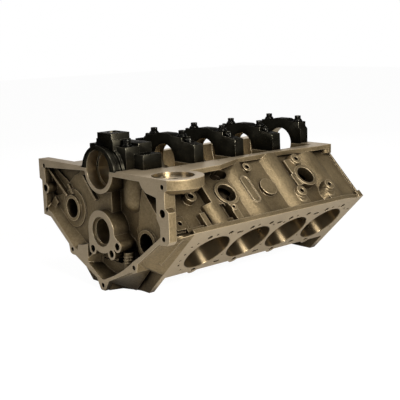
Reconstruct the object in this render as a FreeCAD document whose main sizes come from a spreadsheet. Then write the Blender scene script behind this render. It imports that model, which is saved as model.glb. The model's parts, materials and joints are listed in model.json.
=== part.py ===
import FreeCAD, Part
import os
import math
import Sketcher
from FreeCAD import Vector, Rotation, Placement

# V-type engine block, upside down, in millimetres.
# The origin lies on the crank axis at the centre main bearing. Y runs along the crank from the
# bell housing end (negative) to the front, Z points up out of the crankcase, and the two banks
# hang below to -X and +X.
sizes = {
    # banks and bores
    "bankAngle": 45, "deckHeight": 229.2, "borePitch": 111.76, "boreRadius": 50.8,
    "boreTop": 80, "bankStagger": 22.35, "barrelWall": 6.7, "wallOffset": 73,
    "bulgeCrest": 84, "bulgeRadius": 45, "rearBulgeCrest": 86, "rearBulgeRadius": 26,
    "innerWall": 66, "deckRearLength": 82, "deckThickness": 11, "deckLip": 86,
    "deckLipDepth": 10, "pocketWall": 67, "deckLipFront": 76, "restHeight": 244, "frontY": 254.5,
    # bell housing flange
    "bellY": -291.8, "flangeDepth": 25, "flangeThin": 10, "lobeDepth": 17, "bellBoltRadius": 4.8,
    "dowelRadius": 7.9, "bellBoltDepth": 22,
    "lowBoltX": 197.5, "lowBoltZ": -11, "dowelX": 196.3, "dowelZ": -59,
    "midBoltX": 197.5, "midBoltZ": -106, "topBoltX": 104.5, "topBoltZ": -176.8,
    "apexBoltZ": -232.5, "farFloorDepth": 17.3, "nearFloorDepth": 40, "apexFloorDepth": 27,
    # crank and cam
    "railRise": 2.5, "railThickness": 9.5, "mainBoreRadius": 33.54, "webThickness": 24,
    "crankcaseRadius": 98, "camDrop": 123.7, "camBoreRadius": 25.4, "camBossRadius": 43,
    "camTunnelRadius": 32, "camStep": 29.9, "camStepDepth": 6, "sealBoreRadius": 38.5,
    "sealBoreDepth": 26.3, "sealRingRadius": 47, "sealFaceDepth": 1.3,
    # plug holes and raised floor inside the flange
    "farPlugX": -110.5, "farPlugZ": -92, "nearPlugX": 109, "nearPlugZ": -135,
    "nearPlugFace": 29, "nearPlateauDepth": 34, "galleryRadius": 7.5,
    "domeX": 62, "domeZ": -56, "domeRadius": 29, "domeDepth": 52,
    "stubX": 60, "stubRadius": 11, "stubFoot": -192, "stubHeight": 34,
    # filter pad and its cup
    "filterX": 176, "filterY": -247, "filterRadius": 57, "filterHeight": 27,
    "filterCup": 40, "filterCupDepth": 7,
    # valley
    "chinaWall": 12.5, "timingWall": 16, "lifterOffset": 87.5, "lifterRadius": 10.7, "lifterBossReach": 21,
    "lifterTop": 166, "lifterSpacing": 42, "valleyFloor": -166,
    # water jacket, plugs and side bosses
    "jacketFloor": 112, "jacketInner": 54, "jacketOuter": 65, "plugRadius": 20.6,
    "plugRingRadius": 27, "plugHeight": 152, "mountBossFace": 91, "mountHoleRadius": 5.2,
    "headBoltRadius": 5.6, "headBoltDepth": 60, "headBoltOuter": 57.5, "headBoltInner": 61,
    "headBoltSpread": 27,
    # main caps
    "capThickness": 24, "capHalf": 96.7, "capFlare": 1.5, "capSide": 37.5, "capShoulderX": 58,
    "capShoulder": 43, "capTop": 50, "capDome": 57.3, "capDomeTop": 55.3, "slotGap": 0.3,
    "frontCapRear": 225.5, "frontCapHalf": 64, "frontCapSide": 34,
    "rearCapThickness": 45, "rearCapFront": -201.5, "rearCapHalf": 88, "rearCapLedge": 31,
    "rearCapRaisedY": -233, "rearSeat": 45, "rearBoltY": -250, "sealBlockY": -265.5,
    "sealFootHalf": 60, "sealArch": 55.5, "sealArchDrop": 8.5, "sealGrooveArch": 50,
    # cap bolts and washers
    "innerBoltX": 45, "rearBoltX": 42, "outerBoltX": 67.5, "outerSeat": 35.5, "boltSplay": 16.5,
    "shankRadius": 5.5, "boltHole": 5.75, "innerBoltLength": 98, "outerBoltLength": 70,
    "rearBoltLength": 56,
    "washerRadius": 10.5, "washerThickness": 3, "washerHole": 5.75, "headFlangeRadius": 9,
    "headFlange": 2.5, "headRadius": 7.2, "headHeight": 7.5,
    # oil pump tower on the rear cap
    "towerTop": 70, "towerX": -21, "towerWidth": 47, "towerY": -273, "towerLength": 43.5,
    "towerHoleX": -4, "towerHoleY": -247, "towerHole": 14.5, "towerHoleDepth": 30,
}

doc = FreeCAD.newDocument("EngineBlock")
sheet = doc.addObject("Spreadsheet::Sheet", "Sizes")
for row, (name, value) in enumerate(sizes.items(), start=1):
    sheet.set(f"A{row}", name)
    sheet.set(f"B{row}", str(value))
    sheet.setAlias(f"B{row}", name)
doc.recompute()

xAxis, yAxis, zAxis = Vector(1, 0, 0), Vector(0, 1, 0), Vector(0, 0, 1)


def bind(item, prop, text):
    # ties one property to the sheet; #name stands for a cell of it
    item.setExpression(prop, str(text).replace("#", "Sizes."))


def place(item, at, rotation=None):
    item.Placement = Placement(Vector(), rotation or Rotation())
    for letter, text in zip("xyz", at):
        bind(item, f"Placement.Base.{letter}", text)
    return item


def box(name, lengths, at, rotation=None):
    item = doc.addObject("Part::Box", name)
    for prop, text in zip(("Length", "Width", "Height"), lengths):
        bind(item, prop, text)
    return place(item, at, rotation)


turned = {"x": Rotation(yAxis, 90), "y": Rotation(xAxis, -90), "z": Rotation()}


def cylinder(name, radius, height, at, along="z"):
    item = doc.addObject("Part::Cylinder", name)
    bind(item, "Radius", radius)
    bind(item, "Height", height)
    return place(item, at, turned[along])


def cone(name, radius1, radius2, height, at, along="z"):
    item = doc.addObject("Part::Cone", name)
    bind(item, "Radius1", radius1)
    bind(item, "Radius2", radius2)
    bind(item, "Height", height)
    return place(item, at, turned[along])


def bankPoint(side, across, along, down):
    # a point of a bank: across the deck outwards, along the crank, and down the bore axis
    x = f"{side} * (({across}) * cos(#bankAngle) + ({down}) * sin(#bankAngle))"
    z = f"({across}) * sin(#bankAngle) - ({down}) * cos(#bankAngle)"
    return x, along, z


def onBank(item, side, across, along, down, facing):
    # stands a primitive on the bank, its axis down the bore or out through the side wall
    place(item, bankPoint(side, across, along, down), Rotation(yAxis, 30))
    angle = {"bore": "(180 - #bankAngle)", "side": "(90 - #bankAngle)"}[facing]
    bind(item, "Placement.Rotation.Angle", f"{side} * {angle}")
    return item


def bankCylinder(name, radius, height, side, across, along, down, facing="bore"):
    item = cylinder(name, radius, height, ("0", "0", "0"))
    return onBank(item, side, across, along, down, facing)


def bankCone(name, radius1, radius2, height, side, across, along, down, facing="bore"):
    item = cone(name, radius1, radius2, height, ("0", "0", "0"))
    return onBank(item, side, across, along, down, facing)


def bankBox(name, side, across, along, down):
    # a box in the bank's own directions, each given as its start and its length
    w, width = across
    y, length = along
    b, height = down
    start = f"({b}) + ({height})" if side > 0 else b
    item = box(name, (width, length, height), bankPoint(side, w, y, start), Rotation(yAxis, -30))
    bind(item, "Placement.Rotation.Angle", "-#bankAngle" if side > 0 else "-(180 - #bankAngle)")
    return item


def profile(name, points, y, rotation=Rotation(xAxis, 90)):
    # a closed outline of straight lines in the XZ plane, each corner tied to the sheet
    sketch = doc.addObject("Sketcher::SketchObject", name)
    count = len(points)
    start = [Vector(100 * math.cos(2 * math.pi * k / count),
                    100 * math.sin(2 * math.pi * k / count), 0) for k in range(count)]
    for k in range(count):
        sketch.addGeometry(Part.LineSegment(start[k], start[(k + 1) % count]), False)
    for k in range(count):
        sketch.addConstraint(Sketcher.Constraint("Coincident", k, 2, (k + 1) % count, 1))
    for k, (x, z) in enumerate(points):
        for kind, text, value in (("DistanceX", x, start[k].x), ("DistanceY", z, start[k].y)):
            index = sketch.addConstraint(Sketcher.Constraint(kind, k, 1, value))
            bind(sketch, f"Constraints[{index}]", text)
    return place(sketch, ("0", y, "0"), rotation)


def prism(name, points, y, length):
    # the outline extruded towards the front
    sketch = profile(f"{name}Outline", points, y)
    item = doc.addObject("Part::Extrusion", name)
    item.Base = sketch
    item.DirMode = "Normal"
    item.Reversed = True
    item.Solid = True
    bind(item, "LengthFwd", length)
    return item


def plan(name, points, z, height):
    # the outline in plan view, raised by the height
    sketch = profile(f"{name}Outline", points, "0", Rotation())
    bind(sketch, "Placement.Base.z", z)
    item = doc.addObject("Part::Extrusion", name)
    item.Base = sketch
    item.DirMode = "Normal"
    item.Solid = True
    bind(item, "LengthFwd", height)
    return item


def loft(name, first, firstY, second, secondY):
    item = doc.addObject("Part::Loft", name)
    item.Sections = [profile(f"{name}Start", first, firstY), profile(f"{name}End", second, secondY)]
    item.Solid = True
    item.Ruled = True
    return item


def fuse(name, items):
    item = doc.addObject("Part::MultiFuse", name)
    item.Shapes = items
    return item


def cut(name, base, tool):
    item = doc.addObject("Part::Cut", name)
    item.Base = base
    item.Tool = tool
    return item


def bankXZ(side, across, down):
    x, unused, z = bankPoint(side, across, "0", down)
    return x, z


def wallX(z):
    # where a bank's outer wall crosses the height z
    return f"(#wallOffset - ({z}) * sin(#bankAngle)) / cos(#bankAngle)"


def deckX(z):
    # where a deck face crosses the height z
    return f"(#deckHeight + ({z}) * cos(#bankAngle)) / sin(#bankAngle)"


def boreY(side, k):
    return f"({k - 1.5} * #borePitch + {side} * #bankStagger / 2)"


def mainY(k):
    # main bearing k, from 1 at the front to 5 at the bell housing
    return f"({3 - k} * #borePitch)"


def deckRear(side):
    return f"({boreY(side, 0)} - #deckRearLength)"


def mirrored(points):
    # the same outline on the -X side, in the other order round
    return [(f"-({x})", z) for x, z in reversed(points)]


sides = {"Left": 1, "Right": -1}
solids = []
hollows = []
lateSolids = []
lateHollows = []

# the two banks as one V that is solid between them at first
for tag, side in sides.items():
    rear = deckRear(side)
    section = [("0", "#railRise"),
               (f"{side} * ({wallX('#railRise')})", "#railRise"),
               bankXZ(side, "#wallOffset", "#deckHeight"),
               (f"{side} * ({deckX('-#restHeight')})", "-#restHeight"),
               ("0", "-#restHeight")]
    solids.append(prism(f"bank{tag}", section, rear, f"#frontY - {rear}"))
    lipWidth = "#deckLip - #wallOffset + 5"
    solids.append(bankBox(f"deckLip{tag}", side, ("#wallOffset - 5", lipWidth),
                          (rear, f"190 - {rear}"), ("#deckHeight - #deckLipDepth", "#deckLipDepth")))
    lipStart = [bankXZ(side, "#wallOffset - 5", "#deckHeight - #deckLipDepth"),
                bankXZ(side, "#deckLip", "#deckHeight - #deckLipDepth"),
                bankXZ(side, "#deckLip", "#deckHeight"),
                bankXZ(side, "#wallOffset - 5", "#deckHeight")]
    lipEnd = [bankXZ(side, "#wallOffset - 5", "#deckHeight - #deckLipDepth"),
              bankXZ(side, "#deckLipFront", "#deckHeight - #deckLipDepth"),
              bankXZ(side, "#deckLipFront", "#deckHeight"),
              bankXZ(side, "#wallOffset - 5", "#deckHeight")]
    solids.append(loft(f"deckLipEnd{tag}", lipStart, "190", lipEnd, "#frontY"))
    # the side wall bulges round each bore, narrower at the bell housing end
    for k in range(4):
        crest, radius = "#bulgeCrest", "#bulgeRadius"
        if k == 0:
            crest, radius = "#rearBulgeCrest", "#rearBulgeRadius"
        solids.append(bankCylinder(f"bulge{tag}{k}", radius, "#deckHeight - 5 - #wallOffset", side,
                                   f"{crest} - {radius}", boreY(side, k), "#wallOffset"))

# bell housing flange: deep at the sides, thin down to the apex
foot = [("182", "-119"), ("117", "-167"), ("#topBoltX + 8", "#topBoltZ - 8"),
        ("#topBoltX", "#topBoltZ - 11")]
edge = [("214", "-56"), ("214", "-110"), ("208", "-116.5")] + foot
apex = [("#topBoltX - 8", "#topBoltZ - 10"), ("20", "#apexBoltZ + 11.5"), ("9.5", "#apexBoltZ - 7"),
        ("6", "#apexBoltZ - 10.5")]
top = [("203", "#railRise"), ("203", "-48")]
ear = [("-208", "-110"), ("-208", "-43"), ("-217", "-39"), ("-217", "#railRise")]
flange = top + edge + apex + mirrored(apex) + mirrored(edge)[:-2] + ear
solids.append(prism("flangePlate", flange, "#bellY", "#flangeThin"))
lobes = top + edge + mirrored(edge)[:-2] + ear
solids.append(prism("flangeLobes", lobes, "#bellY", "#lobeDepth"))
deep = [("203", "#railRise"), ("205", "-110")] + foot + mirrored([("205", "-110")] + foot) + [
    ("-208", "-43"), ("-217", "-39"), ("-217", "#railRise")]
solids.append(prism("flangeBody", deep, "#bellY", "#flangeDepth"))

# lower rear housing: panels from the flange to the ends of the decks, and the chin behind the apex
for tag, side in sides.items():
    near = f"{side} * 30"
    start = [(near, "-105"), (f"{side} * 205", "-105"), (f"{side} * 184", "-119.5"),
             (f"{side} * 115", "-169"), (near, "-187")]
    end = [(near, "-105"), bankXZ(side, "#wallOffset", "#deckHeight - #deckLipDepth"),
           bankXZ(side, "#deckLip", "#deckHeight"), bankXZ(side, "-50", "#deckHeight"),
           (near, "-50 * sin(#bankAngle) - #deckHeight * cos(#bankAngle)")]
    solids.append(loft(f"endPanel{tag}", start, "#bellY + 5", end, deckRear(side)))
# low ridge across each rear panel, t from the flange to the deck and s along the panel
for tag, side in sides.items():
    wedge = []
    for t, s0, s1, rise in (("0.48", 0.15, 0.72, -1.5), ("0.62", 0.1, 0.78, 3), ("0.8", 0.05, 0.84, -1.5)):
        points = []
        for s, lift in ((s0, rise), (s1, rise), (s1, -8), (s0, -8)):
            x = f"(184 - {69 * s} + {t} * ({38.9 - 27.2 * s}) + {0.58 * lift})"
            z = f"(-119.5 - {49.5 * s} + {t} * ({18.2 - 46.6 * s}) - {0.81 * lift})"
            points.append((f"{side} * {x}", z))
        wedge.append((points, f"(#bellY + 5) * (1 - {t}) + {deckRear(side)} * {t}"))
    for k in (0, 1):
        solids.append(loft(f"panelWedge{tag}{k}", *wedge[k], *wedge[k + 1]))
chinStart = [("-110", "-184"), ("110", "-184"), ("18", "-223"), ("-18", "-223")]
chinEnd = [("-100", "-190"), ("100", "-190"), ("50", "-#restHeight + 1"), ("-50", "-#restHeight + 1")]
solids.append(loft("chin", chinStart, "#bellY + 5", chinEnd, "#bellY + 45"))
gusset = [("-83", "-235"), ("-51", "-242.5"), ("-19", "-256.5"), ("-10", "#bellY + 9"),
          ("10", "#bellY + 9"), ("19", "-256.5"), ("51", "-242.5"), ("83", "-235")]
solids.append(plan("chinGusset", gusset, "-#restHeight + 1", "22"))

# walls behind the flange, up to the ends of the banks
rearBody = [("-92", "#railRise"), ("92", "#railRise"), ("197", "-102"), ("183", "-119"),
            ("117", "-168"), ("110", "-185"), ("-110", "-185"), ("-117", "-168"),
            ("-183", "-119"), ("-197", "-102")]
solids.append(prism("rearBody", rearBody, "#bellY + #flangeDepth - 1", "37"))

# the walls stand back between the flange and the first bulge of each bank
pockets = []
for tag, side in sides.items():
    behind = "#bellY + #flangeDepth"
    pockets.append(bankBox(f"sidePanel{tag}", side, ("#pocketWall", "60"),
                           (behind, f"{deckRear(side)} + 62 - ({behind})"), ("60", "148")))
    pockets.append(bankBox(f"sideVoid{tag}", side, ("34", "60"),
                           (behind, f"{deckRear(side)} + 1 - ({behind})"), ("128", "46")))
    pockets.append(bankBox(f"sideSlot{tag}", side, ("#pocketWall", "40"),
                           (f"{deckRear(side)} + 61", "18"), ("133", "38")))
shell = cut("Shell", fuse("Solids", solids), fuse("SidePockets", pockets))

# pan rail, wider at the front ears and where it runs out to the filter pad
rail = [("-118", "#bellY + 5"), ("130", "#bellY + 5"), ("158", "-225"), ("155", "-111"),
        ("119", "-28"), ("115", "90"), ("129", "208"), ("129", "#frontY"), ("-129", "#frontY"),
        ("-129", "208"), ("-115", "90"), ("-115", "-35"), ("-118", "-100")]
ledges = [plan("panRail", rail, "#railRise - #railThickness", "#railThickness")]
for tag, side in sides.items():
    ledges.append(cylinder(f"earBoss{tag}", "10", "20", (f"{side} * 118.5", "#frontY - 10.5",
                                                         "#railRise - 20")))
    ledges.append(box(f"earWeb{tag}", ("30", "9", "20"), (f"{side} * 114 - 15", "#frontY - 9",
                                                          "#railRise - 20")))
massing = fuse("Massing", [shell] + ledges)

# first hollows: crankcase bays, valley, water jackets and the recesses of the bell housing end
hollows.append(box("aboveRail", ("600", "700", "60"), ("-300", "-350", "#railRise")))
for k in range(1, 5):
    start = f"({mainY(k + 1)} + #webThickness / 2)" if k < 4 else "#rearCapFront"
    end = f"({mainY(k)} - #webThickness / 2)" if k > 1 else "#frontCapRear"
    hollows.append(cylinder(f"bay{k}", "#crankcaseRadius", f"{end} - ({start})", ("0", start, "0"),
                            "y"))
valley = [bankXZ(1, "-#innerWall", "#lifterTop"),
          bankXZ(1, "-#lifterOffset - #lifterBossReach", "#lifterTop"),
          ("#lifterBossReach", "#valleyFloor"), ("-#lifterBossReach", "#valleyFloor"),
          bankXZ(-1, "-#lifterOffset - #lifterBossReach", "#lifterTop"),
          bankXZ(-1, "-#innerWall", "#lifterTop"),
          bankXZ(-1, "-#innerWall", "#deckHeight + 60"), bankXZ(1, "-#innerWall", "#deckHeight + 60")]
valleyStart = f"({deckRear(1)} + #chinaWall)"
hollows.append(prism("valley", valley, valleyStart, f"#frontY - #timingWall - {valleyStart}"))
for tag, side in sides.items():
    start = f"({deckRear(side)} + 14)"
    section = [bankXZ(side, "-#jacketInner", "#jacketFloor"),
               bankXZ(side, "#jacketOuter", "#jacketFloor"),
               bankXZ(side, "#jacketOuter", "#deckHeight - #deckThickness"),
               bankXZ(side, "-#jacketInner", "#deckHeight - #deckThickness")]
    space = prism(f"jacketSpace{tag}", section, start, f"{boreY(side, 3)} + 64 - {start}")
    kept = []
    for k in range(4):
        kept.append(bankCylinder(f"barrel{tag}{k}", "#boreRadius + #barrelWall", "#deckHeight - 60",
                                 side, "0", boreY(side, k), "60"))
        for j, spread in enumerate((-1, 1)):
            kept.append(bankCylinder(f"boltColumn{tag}{k}{j}", "#headBoltRadius + 4.5", "80", side,
                                     "#headBoltOuter", f"({boreY(side, k)} + {spread} * #headBoltSpread)",
                                     "#deckHeight - 80"))
    hollows.append(cut(f"jacket{tag}", space, fuse(f"barrels{tag}", kept)))

# machined floors inside the flange: the far side, the near side and the one under the cam boss
farStart = [("-195", "-14"), ("-48", "-6"), ("19", "-6"), ("19", "-186"), ("-62", "-186"),
            ("-101", "-170"), ("-128", "-149"), ("-178", "-110"), ("-196", "-104")]
farEnd = [("-195", "-14"), ("-48", "-6"), ("19", "-6"), ("19", "-172"), ("-60", "-169"),
          ("-77", "-161.2"), ("-125.8", "-131.8"), ("-178.8", "-94.4"), ("-195.5", "-89.5")]
hollows.append(loft("farRecess", farStart, "#bellY - 0.5", farEnd, "#bellY + #farFloorDepth"))
farPocket = [("-194", "-20"), ("-152", "-56"), ("-158", "-70"), ("-180", "-76"), ("-194", "-74")]
hollows.append(prism("farPocket", farPocket, "#bellY - 1", "#farFloorDepth + 6"))
farTriangle = [("-180", "-15"), ("-84", "-9"), ("-88", "-16.5"), ("-108", "-25.5"), ("-128", "-41.5")]
hollows.append(prism("farTriangle", farTriangle, "#bellY - 1", "#farFloorDepth + 6"))
nearRecess = [("18.6", "-8"), ("132", "-8"), ("139", "-19"), ("150", "-27"), ("180", "-32"),
              ("180", "-70"), ("189", "-85"), ("189", "-104"), ("128", "-149"), ("100", "-167"),
              ("71", "-186"), ("18.6", "-186")]
hollows.append(prism("nearRecess", nearRecess, "#bellY - 1", "#nearFloorDepth + 1"))
window = [("97", "-12"), ("230", "-12"), ("230", "-48"), ("176", "-76"), ("137", "-76"), ("97", "-33")]
hollows.append(prism("nearWindow", window, "#bellY + #flangeDepth", "28"))
apexShared = [("39.5", "-205.3"), ("71", "-188"), ("100", "-168"), ("60", "-160")]
apexStart = [("-45", "-160"), ("-51", "-194"), ("-4", "-221.5"), ("6", "-220")] + apexShared
apexEnd = [("-30", "-160"), ("-35", "-197"), ("-8", "-206.5"), ("8", "-211")] + apexShared
hollows.append(loft("apexRecess", apexStart, "#bellY - 0.5", apexEnd, "#bellY + #apexFloorDepth"))
roughed = cut("Roughed", massing, fuse("FirstHollows", hollows))

# bosses, ribs and raised floors inside the flange
lateSolids.append(cylinder("camTunnel", "#camTunnelRadius", "#frontY - #bellY - 10",
                           ("0", "#bellY + 10", "-#camDrop"), "y"))
lateSolids.append(cylinder("camBoss", "#camBossRadius", "45", ("0", "#bellY + #sealFaceDepth",
                                                               "-#camDrop"), "y"))
galleries = (("-31", "-162.5"), ("32", "-163"), ("52", "-145"))
for k, (x, z) in enumerate(galleries):
    lateSolids.append(cylinder(f"galleryBoss{k}", "12", "45", (x, "#bellY + #sealFaceDepth", z), "y"))
camWeb = [("-42", "-124"), ("42", "-124"), ("62", "-140"), ("32", "-160"), ("-31", "-160"),
          ("-43", "-158")]
lateSolids.append(prism("camWeb", camWeb, "#bellY + #sealFaceDepth", "45"))
lateSolids.append(cylinder("sealHousing", "#sealRingRadius", "45",
                           ("0", "#bellY + #sealFaceDepth", "0"), "y"))
lateSolids.append(cylinder("farPlugBoss", "#plugRingRadius", "22", ("#farPlugX", "#bellY + 9", "#farPlugZ"),
                           "y"))
lateSolids.append(cylinder("farPlugPad", "40", "16", ("#farPlugX", "#bellY + #farFloorDepth - 3",
                                                      "#farPlugZ"), "y"))
farRibs = (([("-196.5", "-20"), ("-193.5", "-16.5"), ("-126", "-66.5"), ("-128", "-70")], "8"),
           ([("-70", "-19"), ("-65", "-19"), ("-23", "-64"), ("-27", "-66")], "9"),
           ([("-128", "-44"), ("-122", "-44"), ("-108", "-62"), ("-115", "-64")], "11"))
for k, (points, depth) in enumerate(farRibs):
    lateSolids.append(prism(f"farRib{k}", points, f"#bellY + {depth}", f"#farFloorDepth - {depth} + 10"))
lateSolids.append(cylinder("farPocketBoss", "6", "6", ("-172", "#bellY + 19", "-33"), "y"))
lateSolids.append(cylinder("farDowelBoss", "#dowelRadius + 4", "#farFloorDepth + 8",
                           ("-#dowelX", "#bellY", "#dowelZ"), "y"))
bridge = [("-88", "-184"), ("-82", "-163"), ("-64", "-160.5"), ("-47", "-155.5"), ("-49", "-184"),
          ("-54", "-203"), ("-76", "-195")]
lateSolids.append(prism("farBridge", bridge, "#bellY", "#farFloorDepth + 5"))

plateau = [("84", "-80"), ("95", "-30"), ("134", "-72"), ("150", "-86"), ("192", "-96"),
           ("190", "-110"), ("130", "-152"), ("87", "-172"), ("76", "-155"), ("79.5", "-126"),
           ("74", "-114"), ("81", "-103")]
lateSolids.append(prism("nearPlateau", plateau, "#bellY + #nearPlateauDepth", "14"))
lateSolids.append(cylinder("nearPlugBoss", "#plugRingRadius", "30",
                           ("#nearPlugX", "#bellY + #nearPlugFace", "#nearPlugZ"), "y"))
lateSolids.append(cylinder("nearDome", "#domeRadius", "-#domeZ - 4",
                           ("#domeX", "#bellY + #domeDepth", "#domeZ")))
rounded = doc.addObject("Part::Sphere", "nearDomeEnd")
bind(rounded, "Radius", "#domeRadius")
lateSolids.append(place(rounded, ("#domeX", "#bellY + #domeDepth", "#domeZ")))
lateSolids.append(cylinder("stub", "#stubRadius", "#stubHeight", ("#stubX", "#bellY + 24", "#stubFoot")))
for k in range(3):
    lateSolids.append(cylinder(f"stubCollar{k}", "#stubRadius + 1.2", "2.5",
                               ("#stubX", "#bellY + 24", f"#stubFoot + #stubHeight - {10 + 6 * k}")))

# filter pad, trimmed where it meets the face of the flange
pad = fuse("filterPadFull", [
    cylinder("filterPadSide", "#filterRadius", "#filterHeight - 9",
             ("#filterX", "#filterY", "#railRise - #filterHeight + 9")),
    cone("filterPadUnder", "#filterRadius - 12", "#filterRadius", "9",
         ("#filterX", "#filterY", "#railRise - #filterHeight"))])
lateSolids.append(cut("filterPad", pad, box("filterPadTrim", ("200", "60", "60"),
                                            ("80", "#bellY - 60", "-50"))))

# bosses on the banks
for tag, side in sides.items():
    for k in range(4):
        lateSolids.append(bankCylinder(f"headBoss{tag}{k}", "13", "#deckHeight - #lifterTop + 8", side,
                                       "-#headBoltInner", boreY(side, k), "#lifterTop - 8"))
    midRear, midSecond, midFront = [f"({boreY(side, k)} + #borePitch / 2)" for k in (0, 1, 2)]
    for k, (face, along) in enumerate((("77", midRear), ("87", midFront))):
        lateSolids.append(bankCylinder(f"plugRing{tag}{k}", "#plugRingRadius", f"{face} - 66", side,
                                       "66", along, "#plugHeight", "side"))
    lateSolids.append(bankCylinder(f"blankBoss{tag}", "20", "13", side, "80 - 13", midSecond,
                                   "158", "side"))
    for k, (along, down) in enumerate((("0", "110"), ("-43.9", "189"), ("45.1", "188"))):
        lateSolids.append(bankCone(f"mountBoss{tag}{k}", "20", "12", "#mountBossFace - 68", side,
                                   "68", f"({midFront} + {along})", down, "side"))
    lateSolids.append(bankCylinder(f"sideBoss{tag}", "10", "24", side, "60", f"({midSecond} - 27)",
                                   "105", "side"))
    lateSolids.append(bankCylinder(f"plugSideBoss{tag}", "8", "22", side, "64", f"({midRear} - 13)",
                                   "190", "side"))
    # feet of the two lower mount bosses, down to the deck
    for k, (along, length) in enumerate((("-56", "24"), ("32", "26"))):
        lateSolids.append(bankBox(f"mountFoot{tag}{k}", side, ("67.5", "#mountBossFace - 75"),
                                  (f"{midFront} + ({along})", length), ("189", "37")))
        lateSolids.append(bankCone(f"mountFlank{tag}{k}", "27", "11", "#mountBossFace - 72", side, "66",
                                   f"({midFront} + ({along}) + 9)", "201", "side"))
    # pads by the front plug hole, pillar under the rear one, lip and lug at the front edge
    lateSolids.append(bankBox(f"plugPadUpper{tag}", side, ("66", "20"), (f"{midFront} - 33", "25"),
                              ("106", "37")))
    lateSolids.append(bankBox(f"plugPadLower{tag}", side, ("66", "18"), (f"{midFront} - 36", "16"),
                              ("142", "30")))
    lateSolids.append(bankBox(f"plugPillar{tag}", side, ("66", "18"), (f"{midRear} - 20", "16"),
                              ("178", "44")))
    lateSolids.append(bankBox(f"frontLip{tag}", side, ("#wallOffset - 3", "6.5"), ("#frontY - 5", "5"),
                              ("76", "143")))
    lateSolids.append(bankBox(f"deckLug{tag}", side, ("#wallOffset - 3", "12"), ("#frontY - 14", "14"),
                              ("#deckHeight - 16", "16")))
    # bare raised-rim pad on the second bulge
    middle = boreY(side, 1)
    rim = fuse(f"padRim{tag}", [
        bankBox(f"padRimMiddle{tag}", side, ("70", "16"), (f"{middle} - 11", "22"), ("136", "44")),
        bankCylinder(f"padRimTop{tag}", "11", "16", side, "70", middle, "136", "side"),
        bankCylinder(f"padRimBottom{tag}", "11", "16", side, "70", middle, "180", "side")])
    lateSolids.append(rim)

# pocket walls behind the flange
for tag, side in sides.items():
    rear = deckRear(side)
    lateSolids.append(bankCylinder(f"pocketBoss{tag}", "12.5", "26", side, "54", f"{rear} + 47", "145",
                                   "side"))
    lateSolids.append(bankBox(f"pocketSquare{tag}", side, ("56", "16"), (f"{rear} - 20", "28"),
                              ("180", "28")))
    lateSolids.append(bankBox(f"pocketRib{tag}", side, ("60", "20"), (f"{rear} + 42", "12"),
                              ("186", "36")))
built = fuse("Built", [roughed] + lateSolids)

# bores of the cylinders, lifters, crank and cam
for tag, side in sides.items():
    for k in range(4):
        lateHollows.append(bankCylinder(f"bore{tag}{k}", "#boreRadius", "#deckHeight - #boreTop + 1",
                                        side, "0", boreY(side, k), "#boreTop"))
        lateHollows.append(bankCone(f"boreLead{tag}{k}", "#boreRadius - 1", "#boreRadius + 1.5", "2.5",
                                    side, "0", boreY(side, k), "#deckHeight - 2"))
        for j, spread in enumerate((-1, 1)):
            lateHollows.append(bankCylinder(f"lifter{tag}{k}{j}", "#lifterRadius", "#lifterTop - 87", side,
                                            "-#lifterOffset",
                                            f"({boreY(side, k)} + {spread} * #lifterSpacing / 2)", "88"))
lateHollows.append(cylinder("mainBore", "#mainBoreRadius", "#frontY - #bellY + 2",
                            ("0", "#bellY - 1", "0"), "y"))
frontFace = "(#frontCapRear + #capThickness)"
lateHollows.append(cylinder("frontRelief", "#mainBoreRadius + 3", f"#frontY - {frontFace} + 1",
                            ("0", frontFace, "0"), "y"))
lateHollows.append(cylinder("sealBore", "#sealBoreRadius", "#sealBoreDepth + 1",
                            ("0", "#bellY - 1", "0"), "y"))
lateHollows.append(cylinder("camBore", "#camBoreRadius", "#frontY - #bellY + 2",
                            ("0", "#bellY - 1", "-#camDrop"), "y"))
lateHollows.append(cylinder("camStepBore", "#camStep", "#camStepDepth + 3",
                            ("0", "#bellY - 1", "-#camDrop"), "y"))
for k, (x, z) in enumerate(galleries):
    lateHollows.append(cylinder(f"galleryHole{k}", "#galleryRadius", "24", (x, "#bellY - 1", z), "y"))

# plug holes into the water jackets
lateHollows.append(cylinder("farPlug", "#plugRadius", "48", ("#farPlugX", "#bellY", "#farPlugZ"), "y"))
lateHollows.append(cylinder("nearPlug", "#plugRadius", "70", ("#nearPlugX", "#bellY", "#nearPlugZ"), "y"))
for tag, side in sides.items():
    for k in (0, 2):
        lateHollows.append(bankCylinder(f"sidePlug{tag}{k}", "#plugRadius", "40", side, "56",
                                        f"({boreY(side, k)} + #borePitch / 2)", "#plugHeight", "side"))

# tapped and dowel holes of the bell housing face
bellHoles = []
for tag, side in sides.items():
    bellHoles += [(f"lowBolt{tag}", f"{side} * #lowBoltX", "#lowBoltZ", "#bellBoltRadius"),
                  (f"dowel{tag}", f"{side} * #dowelX", "#dowelZ", "#dowelRadius"),
                  (f"midBolt{tag}", f"{side} * #midBoltX", "#midBoltZ", "#bellBoltRadius"),
                  (f"topBolt{tag}", f"{side} * #topBoltX", "#topBoltZ", "#bellBoltRadius")]
bellHoles.append(("apexBolt", "0", "#apexBoltZ", "#bellBoltRadius"))
for name, x, z, radius in bellHoles:
    lateHollows.append(cylinder(name, radius, "#bellBoltDepth + 1", (x, "#bellY - 1", z), "y"))

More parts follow.
